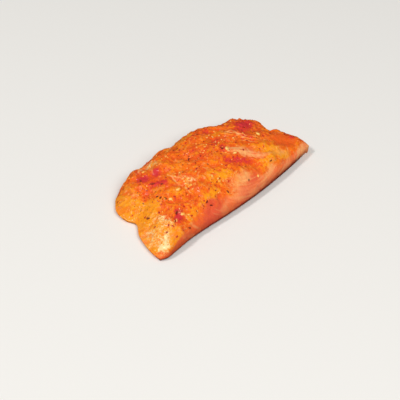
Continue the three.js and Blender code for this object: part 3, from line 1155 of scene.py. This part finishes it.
@dataclass
class Bits:
    """One kind of bit in the rub: those listed one by one and those scattered over the flesh."""

    name: str
    zone: Zone
    finish: BitFinish
    stretch: tuple[float, float, float]
    density: float
    spacing_mm: float
    least_mm: float
    most_mm: float
    seed: int
    placed: tuple[Bit, ...] = ()
    sink: float = 0.25

    def build(self, flesh: bpy.types.Object, tree: BVHTree, middle: Array) -> bpy.types.Object:
        """Builds the piece.

        Args:
            flesh: piece they lie on.
            tree: the flesh's faces, for finding its surface.
            middle: plan point that was moved to the origin, in mm.

        Returns:
            The finished piece.
        """
        material = self.finish.material()
        mesh = self._scattered(flesh, material)
        body = bmesh.new()
        body.from_mesh(mesh)
        for bit in self.placed:
            self._add(body, bit, tree, middle)
        body.to_mesh(mesh)
        body.free()
        mesh.name = self.name
        return dressed(mesh, material)

    def _add(self, body: bmesh.types.BMesh, bit: Bit, tree: BVHTree, middle: Array) -> None:
        """Adds one listed bit.

        Args:
            body: mesh it is added to.
            bit: the bit.
            tree: the flesh's faces.
            middle: plan point that was moved to the origin, in mm.
        """
        above = Vector(((bit.x - middle[0]) * MM, (bit.y - middle[1]) * MM, 1))
        place, normal, _, _ = tree.ray_cast(above, Vector((0, 0, -1)))
        if place is None:
            return
        half = bit.size * MM / 2
        lift = normal * half * self.stretch[2] * (1 - 2 * self.sink)
        upright = normal.to_track_quat("Z", "Y").to_matrix().to_4x4()
        turn = upright @ Matrix.Rotation(math.radians(bit.turn), 4, "Z")
        shape = Matrix.Diagonal((*(half * s for s in self.stretch), 1))
        matrix = Matrix.Translation(place + lift) @ turn @ shape
        bmesh.ops.create_icosphere(body, subdivisions=BALL_LEVEL, radius=1, matrix=matrix)

    def _scattered(self, flesh: bpy.types.Object, material: bpy.types.Material) -> bpy.types.Mesh:
        """Scatters bits over the flesh with geometry nodes.

        Args:
            flesh: piece they lie on.
            material: their material.

        Returns:
            A plain mesh.
        """
        tree = self._tree()
        holder = add_object("scatter", flesh.data)
        modifier = holder.modifiers.new("scatter", "NODES")
        modifier.node_group = tree
        values = {
            "Density": self.density, "Spacing": self.spacing_mm * MM, "Seed": self.seed,
            "Least": self.least_mm * MM / 2, "Most": self.most_mm * MM / 2, "Material": material,
        }
        for item in tree.interface.items_tree:
            if item.item_type == "SOCKET" and item.in_out == "INPUT" and item.name in values:
                modifier[item.identifier] = values[item.name]
        bpy.context.view_layer.update()
        graph = bpy.context.evaluated_depsgraph_get()
        mesh = bpy.data.meshes.new_from_object(holder.evaluated_get(graph))
        holder.modifiers.clear()
        bpy.data.objects.remove(holder)
        return mesh

    def _tree(self) -> bpy.types.NodeTree:
        """Node tree of the scatter.

        Returns:
            The tree.
        """
        tree = bpy.data.node_groups.new(f"scatter {self.name}", "GeometryNodeTree")
        sockets = (
            ("Geometry", "Geometry"), ("Density", "Float"), ("Spacing", "Float"), ("Seed", "Int"),
            ("Least", "Float"), ("Most", "Float"), ("Material", "Material"),
        )
        for name, kind in sockets:
            tree.interface.new_socket(name, in_out="INPUT", socket_type=f"NodeSocket{kind}")
        tree.interface.new_socket("Geometry", in_out="OUTPUT", socket_type="NodeSocketGeometry")
        nodes = Nodes(tree)
        given = nodes.add("NodeGroupInput", {}).outputs
        spread = nodes.add("GeometryNodeInputNamedAttribute", {"Name": self.zone.value}, data_type="FLOAT")
        points = nodes.add("GeometryNodeDistributePointsOnFaces", {
            "Mesh": given["Geometry"],
            "Distance Min": given["Spacing"],
            "Density Max": given["Density"],
            "Density Factor": spread.outputs["Attribute"],
            "Seed": given["Seed"],
        }, distribute_method="POISSON").outputs
        ball = nodes.add("GeometryNodeMeshIcoSphere", {"Radius": 1, "Subdivisions": BALL_LEVEL})
        shaped = nodes.add("GeometryNodeTransform", {
            "Geometry": ball.outputs["Mesh"],
            "Translation": (0, 0, self.stretch[2] * (1 - 2 * self.sink)),
            "Scale": self.stretch,
        })
        sizes = {2: given["Least"], 3: given["Most"], "Seed": given["Seed"]}
        size = nodes.add("FunctionNodeRandomValue", sizes, data_type="FLOAT")
        spin = nodes.add("FunctionNodeRandomValue", {3: 2 * math.pi}, data_type="FLOAT")
        axis = nodes.add("FunctionNodeAxisAngleToRotation", {"Angle": spin.outputs[1]})
        turns = {"Rotation": points["Rotation"], "Rotate By": axis.outputs["Rotation"]}
        turned = nodes.add("FunctionNodeRotateRotation", turns, rotation_space="LOCAL")
        placed = nodes.add("GeometryNodeInstanceOnPoints", {
            "Points": points["Points"],
            "Instance": shaped.outputs["Geometry"],
            "Rotation": turned.outputs["Rotation"],
            "Scale": size.outputs[1],
        })
        real = nodes.add("GeometryNodeRealizeInstances", {"Geometry": placed.outputs["Instances"]})
        dressing = {"Geometry": real.outputs["Geometry"], "Material": given["Material"]}
        coated = nodes.add("GeometryNodeSetMaterial", dressing)
        nodes.add("NodeGroupOutput", {"Geometry": coated.outputs["Geometry"]})
        return tree


GRANULE = BitFinish("granule", srgb(253, 170, 60), srgb(255, 214, 124), roughness=0.35, coat=0.4)
FLECK = BitFinish("fleck", srgb(84, 22, 8), srgb(160, 56, 20), roughness=0.6, coat=0.0)
CHILLI = BitFinish("chilli", srgb(170, 24, 20), srgb(214, 60, 34), roughness=0.35, coat=0.4)

RUB_BITS = (
    Bits(
        "spice_granules", Zone.GRAIN, GRANULE, stretch=(1.2, 0.85, 0.6), density=60_000,
        spacing_mm=1.6, least_mm=0.4, most_mm=1.4, seed=SEED + 1,
        placed=(
            Bit(-38, -9.5, 3.6, 20), Bit(50, -9.5, 3, 40), Bit(-47, -10.5, 2.6), Bit(18, -6.5, 3.6, 10),
            Bit(19, -13.5, 2.6, -40), Bit(-37, 25.5, 2.4), Bit(-51, -25.5, 2.6, 30), Bit(-10, -23.5, 2),
            Bit(-11, -17.5, 2, 30), Bit(-9, -21.5, 2, 30), Bit(19, -35.5, 2, 60), Bit(-25, -6.5, 2.2),
            Bit(-28, -12.5, 2, 40),
        ),
    ),
    Bits(
        "herb_flecks", Zone.DARK, FLECK, stretch=(1.2, 0.5, 0.35), density=36_000,
        spacing_mm=1.5, least_mm=0.4, most_mm=1.3, seed=SEED + 2,
        placed=(
            Bit(-46, 19.5, 2.2, 30), Bit(-43, 10.5, 2.4, 10), Bit(-40, 4.5, 2, 40),
            Bit(-51, -1.5, 2.4, 60), Bit(-51, -4.5, 2.2, 70), Bit(-49, -7.5, 2.2, -40),
            Bit(-66, -6.5, 2.6, 40), Bit(-54, -22.5, 2.8, 40), Bit(-60, -26.5, 2, 70),
            Bit(-54, -34.5, 2.2, -40), Bit(-30, -29.5, 2.2, 30), Bit(-29, -32.5, 2, -30),
            Bit(-11, -32.5, 2.4, 45), Bit(10, -34.5, 1.8, 45), Bit(16, -3.5, 2.4, -30),
            Bit(-7, 8.5, 2.2, 80), Bit(36, -33.5, 2, 20),
        ),
    ),
    Bits(
        "chilli_flakes", Zone.CHILLI, CHILLI, stretch=(1.2, 0.8, 0.25), density=14_000,
        spacing_mm=3, least_mm=0.8, most_mm=2, seed=SEED + 3,
    ),
)


def towards(azimuth: float, elevation: float) -> Vector:
    """Unit vector to a place round the object, in degrees from its front and above the floor."""
    a, e = math.radians(azimuth), math.radians(elevation)
    return Vector((math.sin(a) * math.cos(e), -math.cos(a) * math.cos(e), math.sin(e)))


@dataclass(frozen=True)
class Lamp:
    """A soft square lamp aimed at the object: degrees and metres to it, its side and its watts."""

    name: str
    azimuth: float
    elevation: float
    distance: float
    side: float
    power: float
    reflected: bool

    def build(self) -> None:
        """Makes the lamp."""
        data = bpy.data.lights.new(self.name, "AREA")
        data.size = self.side
        data.energy = self.power
        lamp = add_object(self.name, data)
        back = towards(self.azimuth, self.elevation)
        lamp.location = back * self.distance
        lamp.rotation_euler = back.to_track_quat("Z", "Y").to_euler()
        lamp.visible_glossy = self.reflected
        lamp.visible_camera = False


@dataclass
class Studio:
    """Pale floor, soft lights and the camera at the photo's viewing angle."""

    target_mm: tuple[float, float, float] = (-14.87, -11.7, 0.0)
    azimuth: float = -48.43
    elevation: float = 40.14
    distance: float = 0.9407
    lens: float = 117.0
    floor_half: float = 3.0
    floor_colour: Colour = (0.84, 0.82, 0.78, 1.0)
    floor_roughness: float = 0.9
    sky: float = 0.22
    lamps: tuple[Lamp, ...] = (
        Lamp("key", -120, 52, 2.5, 0.4, 26, True), Lamp("fill", -18, 52, 2.5, 1.6, 42.5, False),
    )

    def build(self) -> None:
        """Makes the floor, lights, sky and camera."""
        self._floor()
        for lamp in self.lamps:
            lamp.build()
        self._sky()
        self._camera()

    def _sky(self) -> None:
        """Makes an even white sky that shows in no reflection."""
        world = bpy.data.worlds.new("sky")
        world.use_nodes = True
        background = world.node_tree.nodes["Background"].inputs
        background["Color"].default_value = (1, 1, 1, 1)
        background["Strength"].default_value = self.sky
        world.cycles_visibility.glossy = False
        bpy.context.scene.world = world

    def _camera(self) -> None:
        """Makes the camera."""
        camera = add_object("camera", bpy.data.cameras.new("camera"))
        camera.data.lens = self.lens
        back = towards(self.azimuth, self.elevation) * self.distance
        camera.location = Vector(self.target_mm) * MM + back
        camera.rotation_euler = (math.radians(90 - self.elevation), 0, math.radians(self.azimuth))
        bpy.context.scene.camera = camera
        bpy.context.scene.view_settings.view_transform = "Standard"

    def _floor(self) -> None:
        """Makes the floor, which shows in no reflection."""
        half = self.floor_half
        mesh = bpy.data.meshes.new("floor")
        corners = [(-half, -half, 0), (half, -half, 0), (half, half, 0), (-half, half, 0)]
        mesh.from_pydata(corners, [], [(0, 1, 2, 3)])
        finish = {"Base Color": self.floor_colour, "Roughness": self.floor_roughness}
        floor = dressed(mesh, NodeGraph("floor").dress(finish))
        floor.visible_glossy = False


def main() -> None:
    """Builds the pieces in order."""
    logging.basicConfig(level=logging.INFO, format="%(message)s")
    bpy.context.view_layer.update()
    portion = Flesh()
    flesh = portion.build()
    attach(flesh, "root")
    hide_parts("fillet")
    LOG.info("flesh: %d faces", len(flesh.data.polygons))
    tree = BVHTree.FromPolygons(
        [vertex.co for vertex in flesh.data.vertices], [face.vertices for face in flesh.data.polygons]
    )
    for bits in RUB_BITS:
        piece = bits.build(flesh, tree, portion.shape.middle)
        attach(piece, "root")
        LOG.info("%s: %d faces", bits.name, len(piece.data.polygons))
    Studio().build()


if __name__ == "__main__":
    main()
